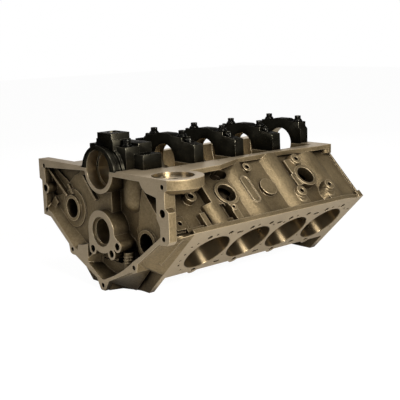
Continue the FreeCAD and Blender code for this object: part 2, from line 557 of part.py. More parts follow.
# holes of each deck: head bolts, water slots at the bridges and small holes towards the ends
for tag, side in sides.items():
    for k in range(4):
        at = boreY(side, k)
        rows = [("#headBoltInner * -1", at), ("#headBoltOuter", f"({at} - #headBoltSpread)"),
                ("#headBoltOuter", f"({at} + #headBoltSpread)")]
        for j, (across, along) in enumerate(rows):
            lateHollows.append(bankCylinder(f"headBolt{tag}{k}{j}", "#headBoltRadius",
                                            "#headBoltDepth + 1", side, across, along,
                                            "#deckHeight - #headBoltDepth"))
        lateHollows.append(bankCylinder(f"deckDrain{tag}{k}", "3.2", "#deckThickness + 2", side, "61",
                                        f"({at} - 10)", "#deckHeight - #deckThickness - 1"))
    for k in range(3):
        bridge = f"({boreY(side, k)} + #borePitch / 2)"
        for j, across in enumerate(("51", "-51")):
            lateHollows.append(bankBox(f"waterSlot{tag}{k}{j}", side, (f"{across} - 3.4", "6.8"),
                                       (f"{bridge} - 5", "10"),
                                       ("#deckHeight - #deckThickness - 1", "#deckThickness + 2")))
            for i, end in enumerate(("-5", "5")):
                lateHollows.append(bankCylinder(f"waterSlotEnd{tag}{k}{j}{i}", "3.4",
                                                "#deckThickness + 2", side, across,
                                                f"({bridge} + {end})",
                                                "#deckHeight - #deckThickness - 1"))
        lateHollows.append(bankCylinder(f"bridgeHole{tag}{k}", "2.6", "#deckThickness + 2", side,
                                        "-27.5", bridge, "#deckHeight - #deckThickness - 1"))
    middle = f"({boreY(side, 1)} + #borePitch / 2)"
    small = [("48", f"({middle} - 16)"), ("47", f"({middle} + 15)")]
    small += [(across, f"({deckRear(side)} + {along})") for along, across in (
        ("18.8", "12.3"), ("18.8", "-8.9"), ("21.7", "35.7"), ("24.2", "-26.2"), ("32.9", "43.6"),
        ("40.8", "-47.3"))]
    small += [(across, f"(#frontY - {along})") for along, across in (
        ("61.9", "59.1"), ("30.8", "42.9"), ("14.7", "37"), ("20.7", "-27.3"))]
    for k, (across, along) in enumerate(small):
        lateHollows.append(bankCylinder(f"smallHole{tag}{k}", "2.8", "#deckThickness + 1", side, across,
                                        along, "#deckHeight - #deckThickness"))

# threaded holes of the side bosses and of the pocket behind the flange
for tag, side in sides.items():
    midRear, midSecond, midFront = [f"({boreY(side, k)} + #borePitch / 2)" for k in (0, 1, 2)]
    rear = deckRear(side)
    sideHoles = [("#mountHoleRadius", "#mountBossFace", midFront, "110", "24"),
                 ("#mountHoleRadius", "#mountBossFace", f"({midFront} - 43.9)", "189", "20"),
                 ("#mountHoleRadius", "#mountBossFace", f"({midFront} + 45.1)", "188", "20"),
                 ("5", "84", f"({midSecond} - 27)", "105", "20"),
                 ("3.2", "86", f"({midRear} - 13)", "190", "18"),
                 ("6.2", "80", f"({rear} + 47)", "145", "20"),
                 ("4.4", "72", f"({rear} - 6)", "194", "14")]
    for k, (radius, face, along, down, depth) in enumerate(sideHoles):
        lateHollows.append(bankCylinder(f"sideHole{tag}{k}", radius, f"{depth} + 1", side,
                                        f"{face} - {depth}", along, down, "side"))
    # hollows under the rail and beside the pillar
    for k, (along, down, radius) in enumerate((("17.6", "105", "12"), ("5.6", "106", "12"),
                                               ("-5.4", "109", "8"))):
        lateHollows.append(bankCylinder(f"railPocket{tag}{k}", radius, "35", side, "#pocketWall - 12",
                                        f"({midRear} + {along})", down, "side"))
    lateHollows.append(bankBox(f"pillarPocket{tag}", side, ("67", "24"), (f"{midRear} - 33", "13"),
                               ("172", "33")))
    middle = boreY(side, 1)
    floor = fuse(f"padFloor{tag}", [
        bankBox(f"padFloorMiddle{tag}", side, ("84.2", "4"), (f"{middle} - 8.5", "17"), ("136", "44")),
        bankCylinder(f"padFloorTop{tag}", "8.5", "4", side, "84.2", middle, "136", "side"),
        bankCylinder(f"padFloorBottom{tag}", "8.5", "4", side, "84.2", middle, "180", "side")])
    lateHollows.append(floor)

# cup of the filter pad and its passages
lateHollows.append(cylinder("filterCup", "#filterCup", "#filterCupDepth + 1",
                            ("#filterX", "#filterY", "#railRise - #filterCupDepth")))
for k, (offset, radius) in enumerate((("0", "10"), ("30", "6.5"))):
    lateHollows.append(cylinder(f"filterHole{k}", radius, "16",
                                (f"#filterX - {offset}", "#filterY", "#railRise - 18")))

# registers and bolt holes of the main caps; the three in the middle have four bolts each
middleCaps = (2, 3, 4)
capSpans = {k: (f"{mainY(k)} - #capThickness / 2", "#capThickness", "#capHalf") for k in middleCaps}
capSpans[1] = ("#frontCapRear", "#capThickness", "#frontCapHalf")
capSpans[5] = ("#rearCapFront - #rearCapThickness", "#rearCapThickness", "#rearCapHalf")
boltY = {k: mainY(k) for k in middleCaps}
boltY[1] = "(#frontCapRear + #capThickness / 2)"
boltY[5] = "#rearBoltY"
for k, (start, length, half) in capSpans.items():
    lateHollows.append(box(f"register{k}", (f"({half} + #slotGap) * 2", f"{length} + #slotGap * 2", "60"),
                           (f"-({half} + #slotGap)", f"{start} - #slotGap", "0")))
lateHollows.append(box("sealRegister", ("(#sealFootHalf + #slotGap) * 2", "#rearCapFront - #bellY", "60"),
                       ("-#sealFootHalf - #slotGap", "#bellY - 1", "0")))


def rowsOf(k):
    return ("inner", "outer") if k in middleCaps else ("inner",)


def boltLength(row, k):
    return "#rearBoltLength" if k == 5 else f"#{row}BoltLength"


def onSeat(item, side, row, k, up):
    # stands a primitive on a bolt's seat in cap k, up the bolt's axis by the given distance
    if row == "inner":
        across, seat = ("#rearBoltX", "#rearSeat") if k == 5 else ("#innerBoltX", "#capTop")
        return place(item, (f"{side} * {across}", boltY[k], f"{seat} + ({up})"))
    place(item, (f"{side} * (#outerBoltX - ({up}) * sin(#boltSplay))", boltY[k],
                 f"#outerSeat + ({up}) * cos(#boltSplay)"), Rotation(yAxis, 5))
    bind(item, "Placement.Rotation.Angle", f"-({side}) * #boltSplay")
    return item


for k in capSpans:
    for tag, side in sides.items():
        for row in rowsOf(k):
            depth = f"({boltLength(row, k)} + 2)"
            hole = cylinder(f"capBoltHole{k}{tag}{row}", "#boltHole", depth, ("0", "0", "0"))
            lateHollows.append(onSeat(hole, side, row, k, f"-{depth}"))

# tapped holes of the pan rail and of the front face
panY = ("-170", "-70", "20", "115", "200")
for tag, side in sides.items():
    for k, along in enumerate(panY):
        lateHollows.append(cylinder(f"panBolt{tag}{k}", "3.4", "20", (f"{side} * 106", along,
                                                                     "#railRise - 19")))
    lateHollows.append(cylinder(f"earHole{tag}", "3.4", "20", (f"{side} * 118.5", "#frontY - 10.5",
                                                               "#railRise - 19")))
    for k, (x, z) in enumerate((("70", "-30"), ("92", "-95"), ("64", "-150"))):
        lateHollows.append(cylinder(f"frontBolt{tag}{k}", "3.4", "20",
                                    (f"{side} * {x}", "#frontY - 19", z), "y"))
    for k, z in enumerate(("-#camDrop - 24", "-#camDrop + 24")):
        lateHollows.append(cylinder(f"camBolt{tag}{k}", "3.2", "18", (f"{side} * 24", "#frontY - 17", z),
                                    "y"))
block = cut("block_casting", built, fuse("MachinedHollows", lateHollows))
nodes = [block]

# main caps, arched over the crank, with a spot face round each bolt
outlines = {
    "middle": [("#capHalf", "0"), ("#capHalf - #capFlare", "#capSide"),
               ("#capShoulderX", "#capShoulder"), ("#capShoulderX", "#capTop")],
    "front": [("#frontCapHalf", "0"), ("#frontCapHalf", "#frontCapSide"),
              ("#capShoulderX", "#frontCapSide + 6"), ("#capShoulderX", "#capTop")],
    "rear": [("#rearCapHalf", "0"), ("#rearCapHalf", "#rearCapLedge")]}
for k, (start, length, half) in sorted(capSpans.items()):
    kind = {1: "front", 5: "rear"}.get(k, "middle")
    outline = outlines[kind] + mirrored(outlines[kind])
    parts = [prism(f"capSide{k}", outline, start, length)]
    tools = [box(f"capUnder{k}", ("240", "240", "80"), ("-120", f"{start} - 90", "-80")),
             cylinder(f"capBore{k}", "#mainBoreRadius", "240", ("0", f"{start} - 90", "0"), "y")]
    if kind != "rear":
        dome = cylinder(f"capDome{k}", "#capDome", length, ("0", start, "0"), "y")
        tools.append(box(f"capFlat{k}", ("120", "60", "20"), ("-60", f"{start} - 10", "#capDomeTop")))
        parts.append(dome)
    for tag, side in sides.items():
        for row in rowsOf(k):
            spot = cylinder(f"capSpot{k}{tag}{row}", "#washerRadius + 1", "20", ("0", "0", "0"))
            tools.append(onSeat(spot, side, row, k, "0"))
            hole = cylinder(f"capHole{k}{tag}{row}", "#boltHole", "70", ("0", "0", "0"))
            tools.append(onSeat(hole, side, row, k, "-60"))
    if kind == "rear":
        # raised middle, block round the seal with a groove between its two walls, oil pump tower
        face = "(#bellY + #sealFaceDepth)"
        parts.append(box("capRaised", ("#capShoulderX * 2", "#rearCapFront - #rearCapRaisedY", "#capTop"),
                         ("-#capShoulderX", "#rearCapRaisedY", "0")))
        parts.append(box("capSealBlock", ("#sealFootHalf * 2", "#rearCapRaisedY - #sealBlockY + 1",
                                          "#rearSeat"), ("-#sealFootHalf", "#sealBlockY", "0")))
        walls = (("Rear", "#sealArch", face, "8"), ("Groove", "#sealGrooveArch", face, "25"),
                 ("Front", "#sealArch", f"({face} + 19)", "6"))
        for name, radius, y, wall in walls:
            parts.append(cylinder(f"sealWall{name}", radius, wall, ("0", y, "-#sealArchDrop"), "y"))
        parts.append(box("tower", ("#towerWidth", "#towerLength", "30"),
                         ("#towerX", "#towerY", "#towerTop - 30")))
        parts.append(box("towerBase", ("#towerWidth + 8", "#towerLength", "20"),
                         ("#towerX - 4", "#towerY", "#towerTop - 32")))
        tools.append(cylinder("sealBoreCap", "#sealBoreRadius", "#sealBoreDepth + 1",
                              ("0", "#bellY - 1", "0"), "y"))
        tools.append(cylinder("towerHole", "#towerHole", "#towerHoleDepth + 1",
                              ("#towerHoleX", "#towerHoleY", "#towerTop - #towerHoleDepth")))
    nodes.append(cut(f"main_cap_{k}", fuse(f"capSolid{k}", parts), fuse(f"capTools{k}", tools)))

# flanged twelve-point bolts with washers
turn = Rotation(zAxis, 30)
masters = {}
for row in ("inner", "outer", "rear"):
    length = f"#{row}BoltLength"
    top = "#washerThickness"
    points = []
    for spin, rotation in ((0, Rotation()), (30, turn)):
        head = doc.addObject("Part::Prism", f"headPoints{row}{spin}")
        head.Polygon = 6
        bind(head, "Circumradius", "#headRadius")
        bind(head, "Height", "#headHeight")
        points.append(place(head, ("0", "0", f"{top} + #headFlange"), rotation))
    masters[row] = points + [
        cylinder(f"shank{row}", "#shankRadius", f"{length} + {top} + 1", ("0", "0", f"-{length}")),
        cylinder(f"headBase{row}", "#headFlangeRadius", "#headFlange", ("0", "0", top))]
washerDisc = cylinder("washerDisc", "#washerRadius", "#washerThickness", ("0", "0", "0"))
washerHole = cylinder("washerHole", "#washerHole", "#washerThickness + 2", ("0", "0", "-1"))
for k in sorted(capSpans):
    for tag, side in sides.items():
        for row in rowsOf(k):
            ending = f"{k}_{row}_{tag.lower()}"
            master = masters["rear" if k == 5 else row]
            nodes.append(onSeat(fuse(f"cap_bolt_{ending}", master), side, row, k, "0"))
            nodes.append(onSeat(cut(f"cap_washer_{ending}", washerDisc, washerHole), side, row, k, "0"))

doc.recompute()
for item in doc.Objects:
    if "Invalid" in item.State or "Error" in item.State:
        raise RuntimeError(f"{item.Name} did not compute: {item.State}")
os.makedirs("parts", exist_ok=True)
for node in nodes:
    shape = node.Shape
    if shape.isNull() or not shape.isValid() or not shape.Solids:
        raise RuntimeError(f"{node.Label} has no valid shape")
    shape.exportStep(f"parts/{node.Label}.step")
    print(node.Label, len(shape.Solids), len(shape.Faces), round(shape.Volume))
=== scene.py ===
import json
import math

import bpy
from mathutils import Matrix, Vector

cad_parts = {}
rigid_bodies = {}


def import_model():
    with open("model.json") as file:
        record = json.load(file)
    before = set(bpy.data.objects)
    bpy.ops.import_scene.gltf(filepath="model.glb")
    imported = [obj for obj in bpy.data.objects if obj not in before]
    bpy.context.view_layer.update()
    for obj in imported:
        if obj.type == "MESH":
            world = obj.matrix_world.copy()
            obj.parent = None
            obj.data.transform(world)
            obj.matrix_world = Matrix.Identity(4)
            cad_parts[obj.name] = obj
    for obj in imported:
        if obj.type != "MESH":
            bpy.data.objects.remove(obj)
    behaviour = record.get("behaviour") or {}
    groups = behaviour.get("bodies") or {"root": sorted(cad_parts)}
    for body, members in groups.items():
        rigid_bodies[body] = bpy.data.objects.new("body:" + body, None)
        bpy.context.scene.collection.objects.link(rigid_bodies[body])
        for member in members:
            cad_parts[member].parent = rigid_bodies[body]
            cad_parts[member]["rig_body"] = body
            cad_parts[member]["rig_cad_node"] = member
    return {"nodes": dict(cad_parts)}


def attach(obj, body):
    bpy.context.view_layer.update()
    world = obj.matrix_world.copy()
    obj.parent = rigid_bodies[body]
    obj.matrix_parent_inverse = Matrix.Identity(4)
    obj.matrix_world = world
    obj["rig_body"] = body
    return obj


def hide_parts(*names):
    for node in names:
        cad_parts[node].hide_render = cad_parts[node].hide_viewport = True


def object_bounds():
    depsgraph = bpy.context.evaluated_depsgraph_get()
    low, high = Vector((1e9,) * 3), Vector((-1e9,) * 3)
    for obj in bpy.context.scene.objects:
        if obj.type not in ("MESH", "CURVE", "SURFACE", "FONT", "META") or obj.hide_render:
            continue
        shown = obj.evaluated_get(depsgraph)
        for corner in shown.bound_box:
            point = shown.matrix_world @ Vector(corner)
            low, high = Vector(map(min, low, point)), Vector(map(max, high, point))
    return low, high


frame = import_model()
nodes = frame["nodes"]
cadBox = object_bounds()
print("frame loaded,", len(nodes), "nodes")


def clearPick():
    # an operator acts on all that is selected, so nothing else may be
    for item in bpy.context.selected_objects:
        item.select_set(False)


def pick(item):
    clearPick()
    item.select_set(True)
    bpy.context.view_layer.objects.active = item


def settle(item):
    # puts the place into the mesh, so that Object coordinates don't slide
    pick(item)
    bpy.ops.object.transform_apply(location=True, rotation=True, scale=True)


def addBevel(item, width, segments, angle):
    modifier = item.modifiers.new("edges", "BEVEL")
    modifier.width = width
    modifier.segments = segments
    modifier.limit_method = "ANGLE"
    modifier.angle_limit = math.radians(angle)
    modifier.use_clamp_overlap = True
    pick(item)
    bpy.ops.object.modifier_apply(modifier=modifier.name)


def smoothByAngle(item, degrees):
    pick(item)
    bpy.ops.object.shade_smooth_by_angle(angle=math.radians(degrees))


def newGroup(name, inputs, outputs):
    # an empty shader group with its sockets, and the nodes that stand for both ends
    group = bpy.data.node_groups.new(name, "ShaderNodeTree")
    for label, kind, value in inputs:
        socket = group.interface.new_socket(name=label, in_out="INPUT", socket_type=kind)
        socket.default_value = value
    for label, kind in outputs:
        group.interface.new_socket(name=label, in_out="OUTPUT", socket_type=kind)
    start = group.nodes.new("NodeGroupInput")
    end = group.nodes.new("NodeGroupOutput")
    return group, start, end


def addNode(tree, kind, **settings):
    node = tree.nodes.new(kind)
    for key, value in settings.items():
        setattr(node, key, value)
    return node


def mathNode(tree, operation, first, second=None):
    node = addNode(tree, "ShaderNodeMath", operation=operation)
    for index, value in enumerate((first, second)):
        if value is None:
            continue
        if isinstance(value, (int, float)):
            node.inputs[index].default_value = value
        else:
            tree.links.new(value, node.inputs[index])
    return node.outputs[0]


def rangeNode(tree, value, fromLow, fromHigh, toLow, toHigh):
    node = addNode(tree, "ShaderNodeMapRange")
    tree.links.new(value, node.inputs["Value"])
    limits = {"From Min": fromLow, "From Max": fromHigh, "To Min": toLow, "To Max": toHigh}
    for key, number in limits.items():
        node.inputs[key].default_value = number
    return node.outputs["Result"]


grain = {
    "grit": {"socket": "Grit Scale", "detail": 3.0, "roughness": 0.6},
    "pits": {"socket": "Pit Scale", "detail": 2.0, "roughness": 0.5},
    "mottle": {"socket": "Mottle Scale", "detail": 5.0, "roughness": 0.62},
    "gritShare": 0.45, "mottleSpan": (0.3, 0.7), "speckSpan": (0.34, 0.66)}


def buildCastGrain():
    # sand cast skin: fine grit, small pits and slow mottling
    tree, start, end = newGroup("castGrain", [
        ("Grit Scale", "NodeSocketFloat", 900.0), ("Pit Scale", "NodeSocketFloat", 260.0),
        ("Mottle Scale", "NodeSocketFloat", 22.0)],
        [("Height", "NodeSocketFloat"), ("Mottle", "NodeSocketFloat"), ("Speck", "NodeSocketFloat")])
    where = addNode(tree, "ShaderNodeTexCoord").outputs["Object"]
    noises = {}
    for name in ("grit", "pits", "mottle"):
        noise = addNode(tree, "ShaderNodeTexNoise")
        noise.inputs["Detail"].default_value = grain[name]["detail"]
        noise.inputs["Roughness"].default_value = grain[name]["roughness"]
        tree.links.new(where, noise.inputs["Vector"])
        tree.links.new(start.outputs[grain[name]["socket"]], noise.inputs["Scale"])
        noises[name] = noise.outputs["Fac"]
    rough = mathNode(tree, "MULTIPLY", noises["grit"], grain["gritShare"])
    deep = mathNode(tree, "MULTIPLY", noises["pits"], 1 - grain["gritShare"])
    tree.links.new(mathNode(tree, "ADD", rough, deep), end.inputs["Height"])
    # noise stays near its middle, so both masks are stretched to the full range
    blotches = rangeNode(tree, noises["mottle"], *grain["mottleSpan"], 0.0, 1.0)
    specks = rangeNode(tree, noises["pits"], *grain["speckSpan"], 0.0, 1.0)
    tree.links.new(blotches, end.inputs["Mottle"])
    tree.links.new(specks, end.inputs["Speck"])
    return tree


# settings of the edge mask for the painted highlight and of the occlusion mask for painted shade
edgeGlintSettings = {"samples": 6, "lean": (0.985, 0.8), "hollowSamples": 8}


def buildEdgeGlintAndShade():
    # rounds the light over each edge, and gives the masks for a painted highlight along the edges and
    # painted shade in the hollows
    tree, start, end = newGroup("edgeGlintAndShade", [
        ("Radius", "NodeSocketFloat", 0.002), ("Hollow Reach", "NodeSocketFloat", 0.02)],
        [("Normal", "NodeSocketVector"), ("Edge", "NodeSocketFloat"), ("Open", "NodeSocketFloat")])
    rounded = addNode(tree, "ShaderNodeBevel", samples=edgeGlintSettings["samples"])
    tree.links.new(start.outputs["Radius"], rounded.inputs["Radius"])
    geometry = addNode(tree, "ShaderNodeNewGeometry")
    dot = addNode(tree, "ShaderNodeVectorMath", operation="DOT_PRODUCT")
    tree.links.new(rounded.outputs["Normal"], dot.inputs[0])
    tree.links.new(geometry.outputs["Normal"], dot.inputs[1])
    tree.links.new(rounded.outputs["Normal"], end.inputs["Normal"])
    # the more the rounded normal leans away from the flat one, the nearer the edge
    edge = rangeNode(tree, dot.outputs["Value"], *edgeGlintSettings["lean"], 0.0, 1.0)
    tree.links.new(edge, end.inputs["Edge"])
    # ambient occlusion finds the corners and recesses that get painted shade
    hollowShade = addNode(tree, "ShaderNodeAmbientOcclusion", samples=edgeGlintSettings["hollowSamples"])
    tree.links.new(start.outputs["Hollow Reach"], hollowShade.inputs["Distance"])
    tree.links.new(hollowShade.outputs["AO"], end.inputs["Open"])
    return tree


def buildBoreAxis():
    # the direction down the bores of whichever bank the point lies on
    tree, start, end = newGroup("boreAxis", [], [("Axis", "NodeSocketVector")])
    where = addNode(tree, "ShaderNodeTexCoord").outputs["Object"]
    split = addNode(tree, "ShaderNodeSeparateXYZ")
    tree.links.new(where, split.inputs[0])
    axis = addNode(tree, "ShaderNodeCombineXYZ")
    tree.links.new(mathNode(tree, "SIGN", split.outputs["X"]), axis.inputs["X"])
    axis.inputs["Z"].default_value = -1.0
    tree.links.new(axis.outputs[0], end.inputs["Axis"])
    return tree


def buildSpokes():
    # the direction away from a round seat's middle, for faces that were turned
    tree, start, end = newGroup("spokes", [("Middle", "NodeSocketVector", (0.0, 0.0, 0.0))],
                                [("Axis", "NodeSocketVector")])
    where = addNode(tree, "ShaderNodeTexCoord").outputs["Object"]
    away = addNode(tree, "ShaderNodeVectorMath", operation="SUBTRACT")
    tree.links.new(where, away.inputs[0])
    tree.links.new(start.outputs["Middle"], away.inputs[1])
    tree.links.new(away.outputs[0], end.inputs["Axis"])
    return tree


def buildToolMarks():
    # fine straight lines left by a cutter, stretched along one direction
    tree, start, end = newGroup("toolMarks", [
        ("Scale", "NodeSocketFloat", 60.0), ("Stretch", "NodeSocketVector", (1.0, 1.0, 1.0)),
        ("Turn", "NodeSocketVector", (0.0, 0.0, 0.0))],
        [("Height", "NodeSocketFloat")])
    where = addNode(tree, "ShaderNodeTexCoord").outputs["Object"]
    mapping = addNode(tree, "ShaderNodeMapping")
    tree.links.new(where, mapping.inputs["Vector"])
    tree.links.new(start.outputs["Turn"], mapping.inputs["Rotation"])
    tree.links.new(start.outputs["Stretch"], mapping.inputs["Scale"])
    noise = addNode(tree, "ShaderNodeTexNoise")
    noise.inputs["Detail"].default_value = 4.0
    tree.links.new(mapping.outputs["Vector"], noise.inputs["Vector"])
    tree.links.new(start.outputs["Scale"], noise.inputs["Scale"])
    tree.links.new(noise.outputs["Fac"], end.inputs["Height"])
    return tree


castGrain = buildCastGrain()
edgeGlintAndShade = buildEdgeGlintAndShade()
boreAxis = buildBoreAxis()
spokes = buildSpokes()
toolMarks = buildToolMarks()
print("shader groups built")


def startMaterial(name):
    material = bpy.data.materials.new(name)
    material.use_nodes = True
    tree = material.node_tree
    shader = tree.nodes["Principled BSDF"]
    return material, tree, shader


def useGroup(tree, group, values=None):
    node = addNode(tree, "ShaderNodeGroup", node_tree=group)
    for label, value in (values or {}).items():
        node.inputs[label].default_value = value
    return node


def mixColors(tree, factor, first, second):
    # a mix node's colour sockets are its inputs 6 and 7 and its output 2
    node = addNode(tree, "ShaderNodeMix", data_type="RGBA")
    tree.links.new(factor, node.inputs["Factor"])
    for socket, value in ((node.inputs[6], first), (node.inputs[7], second)):
        if isinstance(value, tuple):
            socket.default_value = (*value, 1.0)
        else:
            tree.links.new(value, socket)
    return node.outputs[2]


def makeFinish(name, values, marks=None, brushed=None):
    # one recipe for all the metals here: mottled colour, a painted highlight on the edges, painted
    # shade in the hollows, fine relief
    material, tree, shader = startMaterial(name)
    skin = useGroup(tree, castGrain, {
        "Grit Scale": values["grit"], "Pit Scale": values["pits"], "Mottle Scale": values["mottle"]})
    glintAndShade = useGroup(tree, edgeGlintAndShade, {"Radius": values["radius"], "Hollow Reach": values["reach"]})
    blotch = mathNode(tree, "MULTIPLY", skin.outputs["Mottle"], 1 - values["speck"])
    speck = mathNode(tree, "MULTIPLY", skin.outputs["Speck"], values["speck"])
    color = mixColors(tree, mathNode(tree, "ADD", blotch, speck), values["dark"], values["light"])
    # painted highlight: the pale edge colour laid along every edge
    edge = mathNode(tree, "MULTIPLY", glintAndShade.outputs["Edge"], values["edgeGlintShare"])
    color = mixColors(tree, edge, color, values["edge"])
    # painted shade: the dark hollow colour laid where ambient occlusion finds corners and recesses
    shade = rangeNode(tree, glintAndShade.outputs["Open"], values["hollowFrom"], 1.0, 0.0, 1.0)
    color = mixColors(tree, shade, values["hollowShade"], color)
    tree.links.new(color, shader.inputs["Base Color"])
    low, high = values["roughness"]
    roughness = rangeNode(tree, skin.outputs["Mottle"], 0.0, 1.0, low, high)
    tree.links.new(roughness, shader.inputs["Roughness"])
    shader.inputs["Metallic"].default_value = values["metallic"]
    shader.inputs["Specular Tint"].default_value = (*values.get("grazing", (1.0, 1.0, 1.0)), 1.0)
    height = skin.outputs["Height"]
    if marks:
        lines = useGroup(tree, toolMarks, {
            "Scale": marks["scale"], "Stretch": marks["stretch"], "Turn": marks["turn"]})
        cut = mathNode(tree, "MULTIPLY", lines.outputs["Height"], marks["share"])
        rest = mathNode(tree, "MULTIPLY", height, 1 - marks["share"])
        height = mathNode(tree, "ADD", rest, cut)
    bump = addNode(tree, "ShaderNodeBump")
    bump.inputs["Strength"].default_value = values["bump"]
    bump.inputs["Distance"].default_value = values["depth"]
    tree.links.new(height, bump.inputs["Height"])
    tree.links.new(glintAndShade.outputs["Normal"], bump.inputs["Normal"])
    tree.links.new(bump.outputs["Normal"], shader.inputs["Normal"])
    if brushed:
        shader.inputs["Anisotropic"].default_value = values["brush"]
        tree.links.new(brushed(tree), shader.inputs["Tangent"])
    return material


def alongBores(tree):
    # the grain of honing runs round the bore, across this axis
    return useGroup(tree, boreAxis).outputs["Axis"]


def fromMiddle(middle):
    return lambda tree: useGroup(tree, spokes, {"Middle": middle}).outputs["Axis"]


middles = {"crank": (0.0, 0.0, 0.0), "filter": (0.176, -0.247, 0.0)}

# in each finish, the edge colour is a painted highlight along the edges, and the hollow colour is
# painted shade in corners and recesses
castIron = {
    "grit": 620.0, "pits": 250.0, "mottle": 13.0, "speck": 0.40, "radius": 0.0032, "reach": 0.055,
    "dark": (0.165, 0.122, 0.064), "light": (0.340, 0.262, 0.152), "edge": (0.90, 0.73, 0.49),
    "hollowShade": (0.016, 0.010, 0.005), "hollowFrom": 0.24, "edgeGlintShare": 0.85,
    "roughness": (0.36, 0.50), "metallic": 0.80, "bump": 0.9, "depth": 0.0011}
castFinish = makeFinish("castIronSkin", castIron)

milledIron = {
    "grit": 1200.0, "pits": 420.0, "mottle": 22.0, "speck": 0.4, "radius": 0.0012, "reach": 0.02,
    "dark": (0.340, 0.272, 0.184), "light": (0.450, 0.368, 0.260), "edge": (0.80, 0.70, 0.54),
    "hollowShade": (0.05, 0.035, 0.02), "hollowFrom": 0.1, "edgeGlintShare": 0.9,
    "roughness": (0.40, 0.50), "metallic": 0.6, "bump": 0.25, "depth": 0.0003}
milledMarks = {"scale": 400.0, "stretch": (1.0, 0.04, 1.0), "turn": (0.0, 0.0, 0.1), "share": 0.5}
milledFinish = makeFinish("milledIronFace", milledIron, milledMarks)

honedIron = {
    "grit": 1500.0, "pits": 600.0, "mottle": 9.0, "speck": 0.1, "radius": 0.0006, "reach": 0.05,
    "brush": 0.9,
    "dark": (0.21, 0.160, 0.096), "light": (0.31, 0.243, 0.152), "edge": (0.85, 0.76, 0.58),
    "hollowShade": (0.12, 0.086, 0.05), "hollowFrom": 0.0, "edgeGlintShare": 0.7,
    "roughness": (0.26, 0.33), "metallic": 0.96, "bump": 0.12, "depth": 0.0002}
honedMarks = {"scale": 500.0, "stretch": (1.0, 1.0, 0.05), "turn": (0.0, 0.78, 0.0), "share": 0.6}
honedFinish = makeFinish("honedBore", honedIron, honedMarks, alongBores)

boredIron = {
    "grit": 1500.0, "pits": 600.0, "mottle": 14.0, "speck": 0.1, "radius": 0.001, "reach": 0.02,
    "brush": 0.8,
    "dark": (0.38, 0.306, 0.198), "light": (0.52, 0.428, 0.294), "edge": (0.90, 0.82, 0.64),
    "hollowShade": (0.06, 0.043, 0.024), "hollowFrom": 0.0, "edgeGlintShare": 0.6,
    "roughness": (0.26, 0.34), "metallic": 0.95, "bump": 0.15, "depth": 0.0002}
boredMarks = {"scale": 700.0, "stretch": (0.03, 1.0, 0.03), "turn": (0.0, 0.0, 0.0), "share": 0.7}
boredFinish = makeFinish("boredSeat", boredIron, boredMarks)
turnedFinish = makeFinish("turnedSeat", boredIron, boredMarks, fromMiddle(middles["filter"]))

blackSteel = {
    "grit": 1200.0, "pits": 500.0, "mottle": 20.0, "speck": 0.3, "radius": 0.0011, "reach": 0.03,
    "brush": 0.7,
    "dark": (0.014, 0.0125, 0.009), "light": (0.048, 0.045, 0.034), "edge": (0.60, 0.56, 0.45),
    "hollowShade": (0.003, 0.003, 0.002), "hollowFrom": 0.0, "edgeGlintShare": 0.8,
    "roughness": (0.22, 0.38), "metallic": 0.9, "bump": 0.3, "depth": 0.0003,
    "grazing": (0.10, 0.10, 0.09)}
blackMarks = {"scale": 420.0, "stretch": (1.0, 1.0, 0.04), "turn": (0.0, 0.6, 0.0), "share": 0.8}
capFinish = makeFinish("blackOxideSteel", blackSteel, blackMarks, fromMiddle(middles["crank"]))

# the bolts' edge colour is a painted highlight as well
boltSteel = dict(blackSteel, dark=(0.012, 0.012, 0.011), light=(0.030, 0.029, 0.026),
                 roughness=(0.20, 0.30), edge=(0.34, 0.33, 0.30), radius=0.0005)
boltFinish = makeFinish("boltSteel", boltSteel)
print("finishes built")

# the casting's faces get the finish of how each was made
block = {
    "deck": 0.2292, "bores": 4, "boreRadius": 0.0508, "boreLow": 0.078, "pitch": 0.11176,
    "stagger": 0.02235, "bellFace": -0.2905, "rail": 0.0024, "front": 0.2544,
    "mainReach": 0.0395, "camZ": -0.1237, "camReach": 0.0305,
    "filterReach": 0.0405, "filterFloor": -0.006,
    "slack": 0.0002, "boreSlack": 0.0018, "flat": 0.99, "wall": 0.8, "ring": 0.9}
finishes = {"cast": castFinish, "milled": milledFinish, "honed": honedFinish, "bored": boredFinish,
            "turned": turnedFinish}
slots = {name: index for index, name in enumerate(finishes)}


def boredAt(center, normal, height, reach):
    # a wall round the crank or cam axis, but not the flat faces beside it
    return math.hypot(center.x, center.z - height) < reach and abs(normal.y) < block["ring"]


def finishOf(center, normal):
    for side in (1, -1):
        down = Vector((side, 0, -1)).normalized()
        across = Vector((side, 0, 1)).normalized()
        depth = center.dot(down)
        if depth > block["deck"] - block["slack"] and normal.dot(down) > block["flat"]:
            return "milled"
        inBank = block["boreLow"] < depth < block["deck"] + block["slack"]
        if inBank and abs(normal.dot(down)) < block["wall"]:
            for k in range(block["bores"]):
                fromCentre = k - (block["bores"] - 1) / 2
                y = fromCentre * block["pitch"] + side * block["stagger"] / 2
                away = math.hypot(center.dot(across), center.y - y)
                if away < block["boreRadius"] + block["boreSlack"]:
                    return "honed"
    if center.y < block["bellFace"] + block["slack"] and normal.y < -block["flat"]:
        return "milled"
    if center.z > block["rail"] and normal.z > block["flat"]:
        return "milled"
    if center.y > block["front"] and normal.y > block["flat"]:
        return "milled"
    filterX, filterY = middles["filter"][:2]
    fromFilter = math.hypot(center.x - filterX, center.y - filterY)
    if fromFilter < block["filterReach"] and center.z > block["filterFloor"]:
        return "turned"
    if boredAt(center, normal, 0.0, block["mainReach"]):
        return "bored"
    if boredAt(center, normal, block["camZ"], block["camReach"]):
        return "bored"
    return "cast"


casting = nodes["block_casting"]
casting.data.materials.clear()
for finish in finishes.values():
    casting.data.materials.append(finish)
for face in casting.data.polygons:
    face.material_index = slots[finishOf(face.center, face.normal)]
print("casting finished")

cap = {"merge": 0.00001, "flat": 0.5, "edge": 0.0009, "segments": 2, "angle": 35, "smooth": 35}


